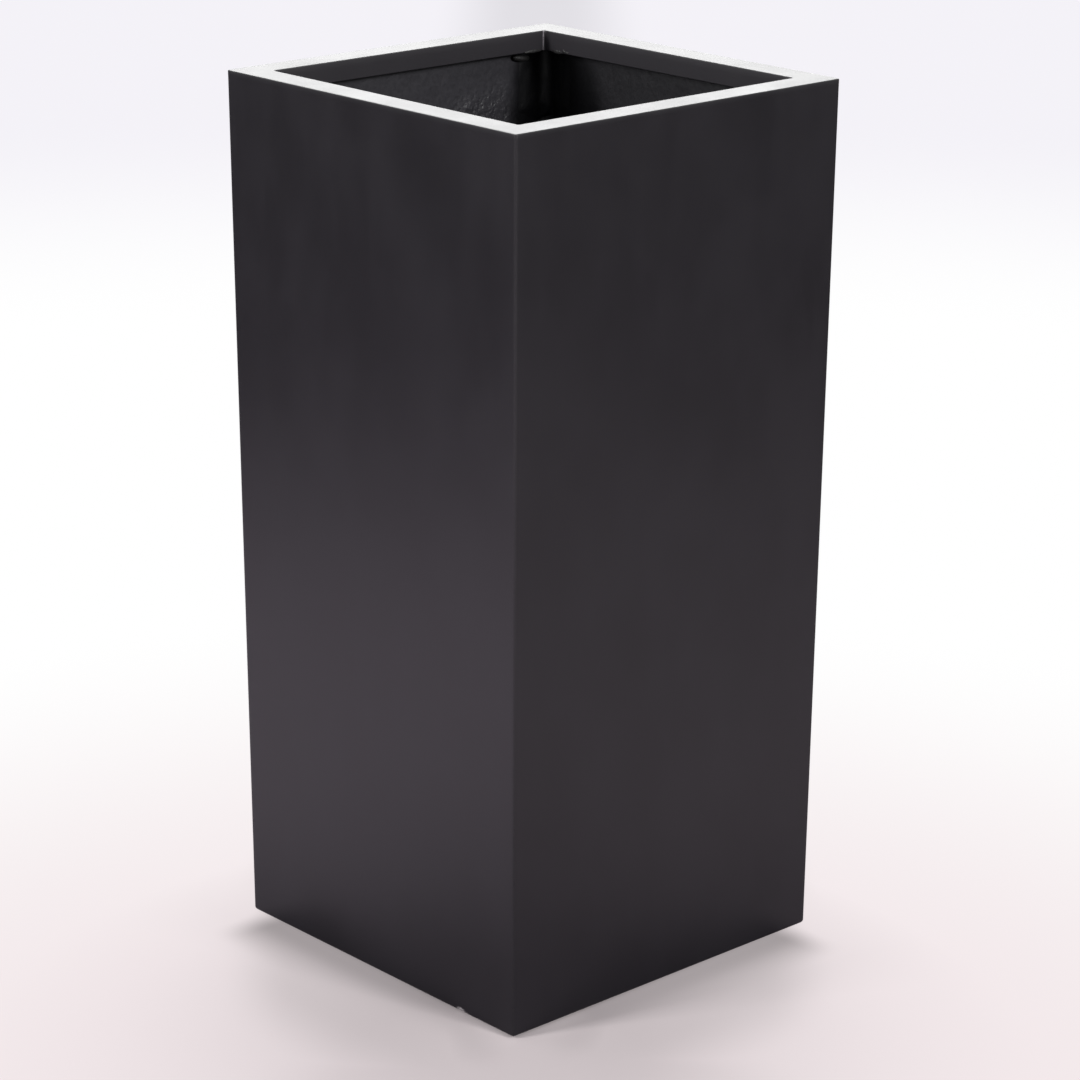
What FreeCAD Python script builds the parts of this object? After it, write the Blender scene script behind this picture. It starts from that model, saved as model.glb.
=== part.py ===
"""Tall square planter in glass-reinforced laminate, with a return rim, a drain bung and foot pads.

Frame: +Z up, origin on the floor under the middle of the base, walls square to X and Y.
The front is the -Y wall. Everything is in millimetres and degrees.
"""
import FreeCAD, Part
import math
import os
import Sketcher

Vector = FreeCAD.Vector

document = FreeCAD.newDocument("planter")
sheet = document.addObject("Spreadsheet::Sheet", "Sizes")

# Driving dimensions.
SIZES = (
    ("overall_height", 762),
    ("top_width", 360),
    # the walls lean out all the way up, which frees the laid-up shell from its mould
    ("wall_lean", 0.415),
    ("wall", 4),
    ("outer_corner_radius", 2),
    ("inner_corner_radius", 12),
    ("base_edge_radius", 3),
    # the base is pushed up inside a footing band, so that it can't rock and water runs off under it
    ("band_width", 30),
    ("base_rise", 6),
    ("base_rise_slope", 30),
    ("base_rise_radius", 2),
    ("floor_cove_radius", 8),
    # thickened laminate round the drain hole
    ("boss_diameter", 66),
    ("boss_thickness", 3),
    ("boss_bevel", 1.5),
    ("drain_hole_diameter", 25),
    # return rim: a flat flange with a lip that turns down into the mouth
    ("rim_width", 27.5),
    ("rim_thickness", 4),
    ("rim_edge_radius", 0.8),
    ("lip_depth", 18),
    ("lip_thickness", 4),
    ("lip_end_bevel", 0.8),
    ("lip_root_radius", 3),
    ("mouth_corner_radius", 2),
    # bonding paste between the walls and the underside of the flange
    ("bead_width", 9),
    ("bead_drop", 9),
    ("bead_feather", 1),
    ("bead_corner_radius", 4),
    # strip of mat and resin that ties two walls together in an inner corner
    ("patch_reach", 46),
    ("patch_drop", 78),
    ("patch_thickness", 2.5),
    ("patch_feather", 1.5),
    # rubber bung with a pull tab
    ("plug_clearance", 0.05),
    ("plug_head_diameter", 40),
    ("plug_head_thickness", 4),
    ("plug_head_bevel", 1),
    ("plug_tip_length", 3),
    ("plug_tip_bevel", 1.2),
    ("plug_core_diameter", 13),
    ("plug_groove_width", 1.6),
    ("plug_groove_depth", 1),
    ("plug_tab_width", 18),
    ("plug_tab_height", 16),
    ("plug_tab_thickness", 4.5),
    ("plug_tab_bevel", 0.8),
    # pads punched from sheet rubber and stuck under the footing band
    ("foot_diameter", 24),
    ("foot_thickness", 1.5),
    ("foot_inset", 17),
)
for row, (alias, size) in enumerate(SIZES, start=1):
    sheet.set(f"A{row}", alias)
    sheet.set(f"B{row}", str(size))
    sheet.setAlias(f"B{row}", alias)
document.recompute()

# Places and sizes that follow from them, as expressions on the sheet.
RIM_UNDERSIDE = "(Sizes.overall_height - Sizes.rim_thickness)"
LIP_END = "(Sizes.overall_height - Sizes.lip_depth)"
MOUTH_WIDTH = "(Sizes.top_width - 2 * Sizes.rim_width)"
LIP_OUTER_WIDTH = f"({MOUTH_WIDTH} + 2 * Sizes.lip_thickness)"
WALL_HEIGHT = f"({RIM_UNDERSIDE} - Sizes.foot_thickness)"
WIDTH_UNDER_RIM = "(Sizes.top_width - 2 * Sizes.rim_thickness * tan(Sizes.wall_lean))"
INNER_WIDTH_UNDER_RIM = f"({WIDTH_UNDER_RIM} - 2 * Sizes.wall / cos(Sizes.wall_lean))"
BASE_WIDTH = f"({WIDTH_UNDER_RIM} - 2 * {WALL_HEIGHT} * tan(Sizes.wall_lean))"
RISE_WIDTH = f"({BASE_WIDTH} - 2 * Sizes.band_width)"
GULLY = "(Sizes.foot_thickness + Sizes.wall)"
DRAIN_HOLE_LENGTH = "(Sizes.wall + Sizes.boss_thickness)"
BOSS_TOP = f"(Sizes.foot_thickness + Sizes.base_rise + {DRAIN_HOLE_LENGTH})"
BEAD_END = f"({RIM_UNDERSIDE} - Sizes.bead_drop)"
INNER_WIDTH_AT_BEAD_END = f"({INNER_WIDTH_UNDER_RIM} - 2 * Sizes.bead_drop * tan(Sizes.wall_lean))"
PLUG_HEAD_TOP = f"({BOSS_TOP} + Sizes.plug_head_thickness)"
PLUG_STEM_DIAMETER = "(Sizes.drain_hole_diameter - 2 * Sizes.plug_clearance)"
PLUG_TIP = f"({BOSS_TOP} - {DRAIN_HOLE_LENGTH} - Sizes.plug_tip_length)"

# The four corners, in quarter turns from the back right one, with the signs of their X and Y.
CORNERS = (
    ("back_right", 1, 1),
    ("back_left", -1, 1),
    ("front_left", -1, -1),
    ("front_right", 1, -1),
)
PLUG_GROOVES = 2
CLOSE = 0.001


def now(expression):
    """The number that an expression on the sheet gives."""
    return float(sheet.evalExpression(expression))


def new_body(label):
    body = document.addObject("PartDesign::Body", label)
    body.Label = label
    return body


def new_sketch(body, name, height=None, plane="XY_Plane"):
    """A sketch on one of the body's own origin planes, lifted along that plane's normal."""
    sketch = body.newObject("Sketcher::SketchObject", name)
    support = next(item for item in body.Origin.OriginFeatures if item.Role == plane)
    sketch.AttachmentSupport = [(support, "")]
    sketch.MapMode = "FlatFace"
    if height:
        sketch.setExpression("AttachmentOffset.Base.z", height)
    return sketch


def bind(sketch, size, constraint):
    """Adds one dimension to the sketch and ties it to the sheet."""
    index = sketch.addConstraint(Sketcher.Constraint(*constraint))
    sketch.setExpression(f"Constraints[{index}]", size)


def draw_rectangle(sketch):
    """Four joined sides, bottom, right, top and left, of a size that is still to be set."""
    corners = [Vector(10, 10), Vector(30, 10), Vector(30, 30), Vector(10, 30)]
    sides = []
    for start, end in zip(corners, corners[1:] + corners[:1]):
        sides.append(sketch.addGeometry(Part.LineSegment(start, end), False))
    for side, following in zip(sides, sides[1:] + sides[:1]):
        sketch.addConstraint(Sketcher.Constraint("Coincident", side, 2, following, 1))
    bottom, right, top, left = sides
    for side in (bottom, top):
        sketch.addConstraint(Sketcher.Constraint("Horizontal", side))
    for side in (right, left):
        sketch.addConstraint(Sketcher.Constraint("Vertical", side))
    return sides


def draw_square(sketch, width):
    """A square centred on the sketch's origin."""
    bottom, right, top, left = draw_rectangle(sketch)
    sketch.addConstraint(Sketcher.Constraint("Symmetric", bottom, 1, top, 1, -1, 1))
    bind(sketch, width, ("DistanceX", bottom, 1, bottom, 2, 20))
    bind(sketch, width, ("DistanceY", right, 1, right, 2, 20))


def draw_square_between(sketch, inner, outer):
    """A square in the corner between X and Y, from inner to outer along both."""
    bottom, right, top, left = draw_rectangle(sketch)
    bind(sketch, inner, ("DistanceX", -1, 1, bottom, 1, 10))
    bind(sketch, inner, ("DistanceY", -1, 1, bottom, 1, 10))
    bind(sketch, outer, ("DistanceX", -1, 1, top, 1, 30))
    bind(sketch, outer, ("DistanceY", -1, 1, top, 1, 30))


def draw_circle(sketch, diameter):
    """A circle on the sketch's origin."""
    circle = sketch.addGeometry(Part.Circle(Vector(), Vector(0, 0, 1), 10), False)
    sketch.addConstraint(Sketcher.Constraint("Coincident", circle, 3, -1, 1))
    bind(sketch, diameter, ("Diameter", circle, 20))


def check_volume(body, feature, before, grows):
    """Stops when a feature that should add to the body, or cut it, does neither."""
    change = feature.Shape.Volume - before
    if (change > 0) != grows or abs(change) < CLOSE:
        raise ValueError(f"{body.Label}.{feature.Label} changes the volume by {change}")


def extrude(body, kind, name, sketch, length, reverse, both_ways=False):
    before = body.Tip.Shape.Volume if body.Tip else 0
    feature = body.newObject(f"PartDesign::{kind}", name)
    feature.Profile = sketch
    feature.Reversed = reverse
    feature.Midplane = both_ways
    feature.setExpression("Length", length)
    document.recompute()
    check_volume(body, feature, before, grows=kind == "Pad")
    return feature


def pad(body, name, sketch, length, down=False, both_ways=False):
    return extrude(body, "Pad", name, sketch, length, reverse=down, both_ways=both_ways)


def pocket(body, name, sketch, length, up=False):
    return extrude(body, "Pocket", name, sketch, length, reverse=up)


def numbered(kind, pieces, wanted):
    """The names of the faces or edges of a shape that are wanted."""
    return [f"{kind}{number}" for number, piece in enumerate(pieces, start=1) if wanted(piece)]


def face_normal(face):
    first_u, last_u, first_v, last_v = face.ParameterRange
    return face.normalAt((first_u + last_u) / 2, (first_v + last_v) / 2)


def upright(face):
    return abs(face_normal(face).z) < 0.5


def lean_faces(body, name, base, pivot, angle, wanted, grows_up=True):
    """Leans faces about the plane of the pivot sketch, so that the solid grows or shrinks upwards."""
    feature = body.newObject("PartDesign::Draft", name)
    feature.Base = (base, numbered("Face", base.Shape.Faces, wanted))
    feature.NeutralPlane = (pivot, [""])
    feature.Reversed = grows_up
    feature.setExpression("Angle", angle)
    document.recompute()
    return feature


def ends(edge):
    return edge.Vertexes[0].Point, edge.Vertexes[-1].Point


def rises(edge):
    """True for an edge that climbs, such as the corner between two walls."""
    start, end = ends(edge)
    return abs(start.z - end.z) > 0.5 * start.distanceToPoint(end) > 0


def level_at(edge, height):
    """True for an edge that lies in the level plane at a height."""
    return abs(edge.BoundBox.ZMin - height) < CLOSE and abs(edge.BoundBox.ZMax - height) < CLOSE


def from_axis(shape):
    """How far a shape lies from the upright axis, measured along X or Y."""
    box = shape.BoundBox
    return max(-box.XMin, box.XMax, -box.YMin, box.YMax)


def on_diagonal(edge):
    """True for an edge that climbs where two square walls meet."""
    level_places = all(abs(abs(point.x) - abs(point.y)) < CLOSE for point in ends(edge))
    return rises(edge) and level_places


def dress(body, kind, size_name, name, size, wanted):
    base = body.Tip
    feature = body.newObject(f"PartDesign::{kind}", name)
    feature.Base = (base, numbered("Edge", base.Shape.Edges, wanted))
    feature.setExpression(size_name, size)
    document.recompute()
    return feature


def fillet(body, name, radius, wanted):
    return dress(body, "Fillet", "Radius", name, radius, wanted)


def chamfer(body, name, size, wanted):
    return dress(body, "Chamfer", "Size", name, size, wanted)


def make_body_shell():
    """Four leaning walls and a pushed-up base, laid up as one skin of even thickness."""
    body = new_body("body_shell")
    base_half = now(BASE_WIDTH) / 2
    rise_half = now(RISE_WIDTH) / 2
    base = now("Sizes.foot_thickness")
    mid_height = now(RIM_UNDERSIDE) / 2

    outline = new_sketch(body, "outline", "Sizes.foot_thickness")
    draw_square(outline, BASE_WIDTH)
    block = pad(body, "block", outline, WALL_HEIGHT)
    lean_faces(body, "walls", block, outline, "Sizes.wall_lean", upright)

    rise_outline = new_sketch(body, "rise_outline", "Sizes.foot_thickness")
    draw_square(rise_outline, RISE_WIDTH)
    rise = pocket(body, "rise", rise_outline, "Sizes.base_rise", up=True)
    sloped_rise = lean_faces(
        body, "sloped_rise", rise, rise_outline, "Sizes.base_rise_slope",
        lambda face: upright(face) and from_axis(face) < rise_half + CLOSE,
    )

    laminate = body.newObject("PartDesign::Thickness", "laminate")
    laminate.Base = (
        sloped_rise,
        numbered("Face", sloped_rise.Shape.Faces, lambda face: face.BoundBox.ZMin > mid_height),
    )
    laminate.Reversed = True
    laminate.setExpression("Value", "Sizes.wall")
    document.recompute()

    def wall_corner(edge):
        return on_diagonal(edge) and edge.BoundBox.ZMin < mid_height < edge.BoundBox.ZMax

    wall_middle = now(f"{WIDTH_UNDER_RIM} - Sizes.wall") / 2
    fillet(
        body, "outer_corners", "Sizes.outer_corner_radius",
        lambda edge: wall_corner(edge) and from_axis(edge) > wall_middle,
    )
    fillet(
        body, "inner_corners", "Sizes.inner_corner_radius",
        lambda edge: wall_corner(edge) and from_axis(edge) < wall_middle,
    )
    band_middle = (base_half + rise_half) / 2
    fillet(
        body, "base_edge", "Sizes.base_edge_radius",
        lambda edge: level_at(edge, base) and from_axis(edge) > band_middle,
    )
    fillet(
        body, "rise_edge", "Sizes.base_rise_radius",
        lambda edge: level_at(edge, base) and abs(from_axis(edge) - rise_half) < CLOSE,
    )
    gully = now(GULLY)
    fillet(
        body, "floor_cove", "Sizes.floor_cove_radius",
        lambda edge: level_at(edge, gully) and from_axis(edge) > band_middle,
    )

    boss_outline = new_sketch(body, "boss_outline", BOSS_TOP)
    draw_circle(boss_outline, "Sizes.boss_diameter")
    pad(body, "boss", boss_outline, DRAIN_HOLE_LENGTH, down=True)
    boss_top = now(BOSS_TOP)
    chamfer(body, "boss_edge", "Sizes.boss_bevel", lambda edge: level_at(edge, boss_top))
    hole_outline = new_sketch(body, "hole_outline", BOSS_TOP)
    draw_circle(hole_outline, "Sizes.drain_hole_diameter")
    pocket(body, "drain_hole", hole_outline, DRAIN_HOLE_LENGTH)


def make_rim_frame():
    """A flat flange on the wall tops, with a lip that hangs round the mouth."""
    body = new_body("rim_frame")
    top = now("Sizes.overall_height")
    underside = now(RIM_UNDERSIDE)
    lip_end = now(LIP_END)
    mouth_half = now(MOUTH_WIDTH) / 2
    lip_outer_half = now(LIP_OUTER_WIDTH) / 2

    outline = new_sketch(body, "outline", "Sizes.overall_height")
    draw_square(outline, "Sizes.top_width")
    flange = pad(body, "flange", outline, "Sizes.rim_thickness", down=True)
    lean_faces(body, "flush_sides", flange, outline, "Sizes.wall_lean", upright)
    fillet(body, "outer_corners", "Sizes.outer_corner_radius", on_diagonal)

    lip_outline = new_sketch(body, "lip_outline", RIM_UNDERSIDE)
    draw_square(lip_outline, LIP_OUTER_WIDTH)
    pad(body, "lip", lip_outline, "Sizes.lip_depth - Sizes.rim_thickness", down=True)
    fillet(body, "lip_corners", "Sizes.mouth_corner_radius + Sizes.lip_thickness", on_diagonal)
    mouth_outline = new_sketch(body, "mouth_outline", "Sizes.overall_height")
    draw_square(mouth_outline, MOUTH_WIDTH)
    pocket(body, "mouth", mouth_outline, "Sizes.lip_depth")
    fillet(
        body, "mouth_corners", "Sizes.mouth_corner_radius",
        lambda edge: on_diagonal(edge) and from_axis(edge) < mouth_half + CLOSE,
    )
    fillet(
        body, "lip_root", "Sizes.lip_root_radius",
        lambda edge: level_at(edge, underside) and from_axis(edge) < lip_outer_half + CLOSE,
    )
    chamfer(body, "lip_edges", "Sizes.lip_end_bevel", lambda edge: level_at(edge, lip_end))
    fillet(body, "top_edges", "Sizes.rim_edge_radius", lambda edge: level_at(edge, top))


def make_rim_bond_bead():
    """A ring of paste with a sloped face, in the angle between the walls and the flange."""
    body = new_body("rim_bond_bead")
    bead_end = now(BEAD_END)
    opening_width = f"({INNER_WIDTH_UNDER_RIM} - 2 * Sizes.bead_width)"
    opening_half = now(opening_width) / 2

    outline = new_sketch(body, "outline", RIM_UNDERSIDE)
    draw_square(outline, INNER_WIDTH_UNDER_RIM)
    block = pad(body, "block", outline, "Sizes.bead_drop", down=True)
    lean_faces(body, "against_walls", block, outline, "Sizes.wall_lean", upright)
    fillet(body, "wall_corners", "Sizes.inner_corner_radius", on_diagonal)
    opening = new_sketch(body, "opening", RIM_UNDERSIDE)
    draw_square(opening, opening_width)
    pocket(body, "ring", opening, "Sizes.bead_drop")
    fillet(body, "ring_corners", "Sizes.bead_corner_radius", on_diagonal)
    chamfer(
        body, "slope", "min(Sizes.bead_width; Sizes.bead_drop) - Sizes.bead_feather",
        lambda edge: level_at(edge, bead_end) and from_axis(edge) < opening_half + CLOSE,
    )


def make_corner_patch(corner, turns):
    """A strip of mat pressed into one inner corner, from the bead down, with feathered edges."""
    body = new_body(f"corner_patch_{corner}")
    wall_face = f"({INNER_WIDTH_AT_BEAD_END} / 2)"
    strip_end = f"({wall_face} - Sizes.patch_reach)"

    def toward_walls(face):
        normal = face_normal(face)
        return upright(face) and normal.x + normal.y > 0

    outline = new_sketch(body, "outline", BEAD_END)
    draw_square_between(outline, strip_end, wall_face)
    block = pad(body, "block", outline, "Sizes.patch_drop", down=True)
    lean_faces(body, "against_walls", block, outline, "Sizes.wall_lean", toward_walls)
    wall_corner = fillet(
        body, "wall_corner", "Sizes.inner_corner_radius",
        lambda edge: on_diagonal(edge) and edge.BoundBox.XMin > now(strip_end) + 1,
    )
    strip = body.newObject("PartDesign::Thickness", "strip")
    strip.Base = (
        wall_corner,
        numbered("Face", wall_corner.Shape.Faces, lambda face: not toward_walls(face)),
    )
    strip.Reversed = True
    strip.setExpression("Value", "Sizes.patch_thickness")
    document.recompute()

    lean = now("tan(Sizes.wall_lean)")
    top = now(BEAD_END)
    open_face_at_top = now(f"{wall_face} - Sizes.patch_thickness / cos(Sizes.wall_lean)")

    def on_open_face(point):
        face_here = open_face_at_top - (top - point.z) * lean
        return abs(face_here - max(point.x, point.y)) < CLOSE

    def open_border(edge):
        beside_end = min(edge.BoundBox.XMin, edge.BoundBox.YMin) < now(strip_end) + CLOSE
        return all(on_open_face(point) for point in ends(edge)) and (beside_end or not rises(edge))

    chamfer(body, "feathered_border", "Sizes.patch_feather", open_border)
    body.Placement = FreeCAD.Placement(Vector(), FreeCAD.Rotation(Vector(0, 0, 1), 90 * turns))


def make_drain_plug():
    """A bung with a flat head, a ribbed stem that is hollow from below, and a tab to pull it by."""
    body = new_body("drain_plug")
    head_top = now(PLUG_HEAD_TOP)
    tip = now(PLUG_TIP)

    head_outline = new_sketch(body, "head_outline", BOSS_TOP)
    draw_circle(head_outline, "Sizes.plug_head_diameter")
    pad(body, "head", head_outline, "Sizes.plug_head_thickness")
    chamfer(body, "head_edge", "Sizes.plug_head_bevel", lambda edge: level_at(edge, head_top))
    stem_outline = new_sketch(body, "stem_outline", BOSS_TOP)
    draw_circle(stem_outline, PLUG_STEM_DIAMETER)
    pad(body, "stem", stem_outline, f"{DRAIN_HOLE_LENGTH} + Sizes.plug_tip_length", down=True)
    chamfer(body, "tip", "Sizes.plug_tip_bevel", lambda edge: level_at(edge, tip))
    core_outline = new_sketch(body, "core_outline", PLUG_TIP)
    draw_circle(core_outline, "Sizes.plug_core_diameter")
    pocket(body, "core", core_outline, f"{DRAIN_HOLE_LENGTH} + Sizes.plug_tip_length", up=True)

    for number in range(1, PLUG_GROOVES + 1):
        cut_groove(body, number)

    tab_outline = new_sketch(body, "tab_outline", plane="XZ_Plane")
    draw_tab(tab_outline)
    pad(body, "tab", tab_outline, "Sizes.plug_tab_thickness", both_ways=True)
    chamfer(
        body, "tab_edges", "Sizes.plug_tab_bevel",
        lambda edge: edge.BoundBox.ZMax > head_top + CLOSE and edge.BoundBox.YLength < CLOSE,
    )


def cut_groove(body, number):
    """One of the grooves that leave sealing ribs along the stem, spread evenly over the hole's length."""
    middle = f"({BOSS_TOP} - {DRAIN_HOLE_LENGTH} * {number} / {PLUG_GROOVES + 1})"
    outline = new_sketch(body, f"groove_outline_{number}", plane="XZ_Plane")
    bottom, right, top, left = draw_rectangle(outline)
    groove_floor = f"{PLUG_STEM_DIAMETER} / 2 - Sizes.plug_groove_depth"
    groove_foot = f"{middle} - Sizes.plug_groove_width / 2"
    bind(outline, groove_floor, ("DistanceX", -1, 1, bottom, 1, 10))
    bind(outline, groove_foot, ("DistanceY", -1, 1, bottom, 1, 5))
    bind(outline, "2 * Sizes.plug_groove_depth", ("DistanceX", bottom, 1, bottom, 2, 2))
    bind(outline, "Sizes.plug_groove_width", ("DistanceY", right, 1, right, 2, 2))
    before = body.Tip.Shape.Volume
    groove = body.newObject("PartDesign::Groove", f"groove_{number}")
    groove.Profile = outline
    groove.ReferenceAxis = (outline, ["V_Axis"])
    groove.Angle = 360
    document.recompute()
    check_volume(body, groove, before, grows=False)


def draw_tab(sketch):
    """An arch that stands on the plug's head: two upright sides under a half circle."""
    side = 9
    rise = 7
    foot = sketch.addGeometry(Part.LineSegment(Vector(-side, 0), Vector(side, 0)), False)
    right = sketch.addGeometry(Part.LineSegment(Vector(side, 0), Vector(side, rise)), False)
    circle = Part.Circle(Vector(0, rise), Vector(0, 0, 1), side)
    arch = sketch.addGeometry(Part.ArcOfCircle(circle, 0, math.pi), False)
    left = sketch.addGeometry(Part.LineSegment(Vector(-side, rise), Vector(-side, 0)), False)
    sketch.addConstraint(Sketcher.Constraint("Coincident", foot, 2, right, 1))
    sketch.addConstraint(Sketcher.Constraint("Tangent", right, 2, arch, 1))
    sketch.addConstraint(Sketcher.Constraint("Tangent", arch, 2, left, 1))
    sketch.addConstraint(Sketcher.Constraint("Coincident", left, 2, foot, 1))
    sketch.addConstraint(Sketcher.Constraint("Horizontal", foot))
    sketch.addConstraint(Sketcher.Constraint("Vertical", right))
    sketch.addConstraint(Sketcher.Constraint("PointOnObject", arch, 3, -2))
    bind(sketch, PLUG_HEAD_TOP, ("DistanceY", -1, 1, foot, 1, 20))
    bind(sketch, "Sizes.plug_tab_width", ("DistanceX", foot, 1, foot, 2, 2 * side))
    bind(sketch, "Sizes.plug_tab_height - Sizes.plug_tab_width / 2", ("DistanceY", right, 1, right, 2, rise))


def make_foot_pad(corner, x_side, y_side):
    """A rubber disc under the footing band, at one corner."""
    body = new_body(f"foot_pad_{corner}")
    outline = new_sketch(body, "outline")
    draw_circle(outline, "Sizes.foot_diameter")
    pad(body, "disc", outline, "Sizes.foot_thickness")
    from_middle = f"({BASE_WIDTH} / 2 - Sizes.foot_inset)"
    body.setExpression("Placement.Base.x", f"{x_side} * {from_middle}")
    body.setExpression("Placement.Base.y", f"{y_side} * {from_middle}")


make_body_shell()
make_rim_frame()
make_rim_bond_bead()
make_drain_plug()
for turns, (corner, x_side, y_side) in enumerate(CORNERS):
    make_corner_patch(corner, turns)
    make_foot_pad(corner, x_side, y_side)
document.recompute()

for item in document.Objects:
    if "Invalid" in item.State or "Error" in item.State:
        raise ValueError(f"{item.Label} did not build: {item.State}")
bodies = [item for item in document.Objects if item.TypeId == "PartDesign::Body"]
for body in bodies:
    if body.Shape.isNull() or not body.Shape.isValid():
        raise ValueError(f"{body.Label} has no sound shape")

os.makedirs("parts", exist_ok=True)
for body in bodies:
    body.Shape.exportStep(f"parts/{body.Label}.step")
    print(f"{body.Label}: {len(body.Shape.Solids)} solid, {body.Shape.Volume / 1000:.1f} cm3")
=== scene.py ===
"""A tall square planter of black glass mat laminate, standing on a pale studio floor.

Lengths are in metres. X points to the planter's right, Y to its back and Z up, and the origin is
on the floor under its middle.
"""

import math
import random

import bmesh
import bpy
import numpy as np
from mathutils import Matrix, Vector, noise

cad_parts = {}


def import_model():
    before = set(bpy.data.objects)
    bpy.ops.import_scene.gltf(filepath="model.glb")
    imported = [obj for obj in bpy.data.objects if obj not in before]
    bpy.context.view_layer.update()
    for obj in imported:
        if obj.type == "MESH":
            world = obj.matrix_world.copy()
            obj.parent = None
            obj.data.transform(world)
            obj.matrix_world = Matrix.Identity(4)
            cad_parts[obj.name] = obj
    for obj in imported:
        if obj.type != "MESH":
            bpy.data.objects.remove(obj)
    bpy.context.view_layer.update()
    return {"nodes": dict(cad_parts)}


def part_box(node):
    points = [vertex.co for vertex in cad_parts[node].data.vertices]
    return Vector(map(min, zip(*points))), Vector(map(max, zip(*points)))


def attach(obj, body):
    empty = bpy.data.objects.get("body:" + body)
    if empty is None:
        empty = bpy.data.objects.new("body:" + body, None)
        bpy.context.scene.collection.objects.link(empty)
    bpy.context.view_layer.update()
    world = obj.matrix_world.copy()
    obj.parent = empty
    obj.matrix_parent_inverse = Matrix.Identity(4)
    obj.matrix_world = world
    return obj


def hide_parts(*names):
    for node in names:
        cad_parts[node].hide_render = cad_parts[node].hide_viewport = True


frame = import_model()

MM = 0.001

# The corners, and how many quarter turns each one is from the back right
CORNERS = {"back_right": 0, "back_left": 1, "front_left": 2, "front_right": 3}

# What the frame gives
shell_low, shell_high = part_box("body_shell")
rim_low, rim_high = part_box("rim_frame")
bead_low, bead_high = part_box("rim_bond_bead")
patch_low, patch_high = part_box("corner_patch_back_right")

# The shell
WALL_LEAN = math.tan(math.radians(0.415))
WALL = 4 * MM
OUTER_CORNER = 2 * MM
INNER_CORNER = 12 * MM
BASE_EDGE = 3 * MM
BASE_BAND = 30 * MM
BASE_RISE = 6 * MM
RISE_RUN = 3.5 * MM
COVE = 8 * MM
GULLY_EDGE = 146.8 * MM
GULLY_SLOPE = 5.5 * MM
BOSS_RADIUS = 33 * MM
BOSS_HEIGHT = 3 * MM
BOSS_BEVEL = 1.5 * MM
HOLE_RADIUS = 12.5 * MM
SEAT = 0.02 * MM

# The rim
MOUTH = 152.5 * MM
MOUTH_CORNER = 2 * MM
LIP = 4 * MM
LIP_BEVEL = 0.8 * MM
LIP_ROOT = 3 * MM
RIM_EDGE = 0.8 * MM

# The paste bead: how far it hangs over and how far its face is thicker and thinner
BEAD_WIDTH = 9 * MM
BEAD_SAG = 0.56 * MM
BEAD_SPREAD = 1.3 * MM

# The corner patches. They fade out between two shares of the way to each side and down.
PATCH_THICKNESS = 2.5 * MM
PATCH_REACH = 46 * MM
PATCH_SINK = 1.1 * MM
PATCH_FADE_SIDEWAYS = (0.25, 0.97)
PATCH_FADE_DOWN = (0.75, 0.985)
PATCH_ARC = INNER_CORNER * math.pi / 2

# How uneven the walls are, and how far below the rim the mat gets rough
OUTER_WAVE = 0.08 * MM
MAT_RELIEF = 0.8 * MM
FLOOR_RELIEF = 0.6 * MAT_RELIEF
SMOOTH_BAND = 30 * MM
ROUGH_DEPTH = 45 * MM

# The small knock on the bottom edge of the left wall, stretched along the edge
NICK_HEIGHT = shell_low.z + 1.5 * MM
NICK_SIDE = (shell_high.z - NICK_HEIGHT) * WALL_LEAN - shell_high.x
NICK = Vector((NICK_SIDE, -108 * MM, NICK_HEIGHT))
NICK_REACH = 5 * MM
NICK_STRETCH = 2.0
NICK_DEPTH = 0.5 * MM
NICK_RAGGED = 2.5 * MM

# Where the inner corners are painted dark for shade: between these places along a wall, and further
# along the side walls, wider by these shares of how deep it is
CORNER_SHADE_START = 130 * MM
CORNER_SHADE_END = 152 * MM
CORNER_SHADE_SKEW = 18 * MM
CORNER_SHADE_DEPTH = 90 * MM
CORNER_SHADE_SPREAD = (0.12, 0.45)

# Paint and resin colours, some as a pair for the dark and light of their clouds
PAINT = ((0.0090, 0.0081, 0.0104), (0.0114, 0.0103, 0.0132))
# Lighter paint for wear and a painted highlight along the outer edges
WORN_HIGHLIT_PAINT = (0.016, 0.0148, 0.0172)
# Painted light on the lips
LIT_LIP_PAINT = (0.036, 0.0335, 0.038)
# A painted highlight where the lips meet
PAINTED_CORNER_HIGHLIGHT = (0.34, 0.31, 0.34)
BARE_LAMINATE = (0.46, 0.43, 0.44)
WETTED_MAT = ((0.034, 0.0325, 0.038), (0.048, 0.046, 0.0535))
# The side walls' mat, darker with painted shade
SHADED_SIDE_WALL_MAT = ((0.0125, 0.0119, 0.0142), (0.0180, 0.0172, 0.0204))
# Painted shade in the inner corners and under the lip
PAINTED_SHADE_TONES = ((0.0024, 0.0024, 0.0031), (0.0042, 0.0042, 0.0053))
PASTE_TONES = ((0.010, 0.0098, 0.0104), (0.024, 0.0232, 0.0226))
RUBBER_TONES = ((0.014, 0.014, 0.0145), (0.030, 0.029, 0.028))
BLACK = (0, 0, 0)
WHITE = (1, 1, 1)

# How finely the pieces are divided
SIDE_STEPS = 140
CORNER_STEPS = 6
EDGE_STEPS = 5
LIP_ROOT_STEPS = 4
LIP_STEP = 5 * MM
FINE_STEP = 2.0 * MM
FINE_MARGIN = 25 * MM
WALL_STEP = 9 * MM
OUTER_STEP = 30 * MM
OUTER_START = 20 * MM
FOOT_LEVELS = (4, 5, 6, 8, 12)
FLOOR_LOOPS = 16
BEAD_STEPS = 8
PATCH_COLUMNS = 40
PATCH_ROWS = 32


# ------------------------------------------------------------ loops of points round the planter

def quadrant(turn):
    """The signs of X and Y at one corner, counted anticlockwise from the back right."""
    return ((1, 1), (-1, 1), (-1, -1), (1, -1))[turn % 4]


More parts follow.
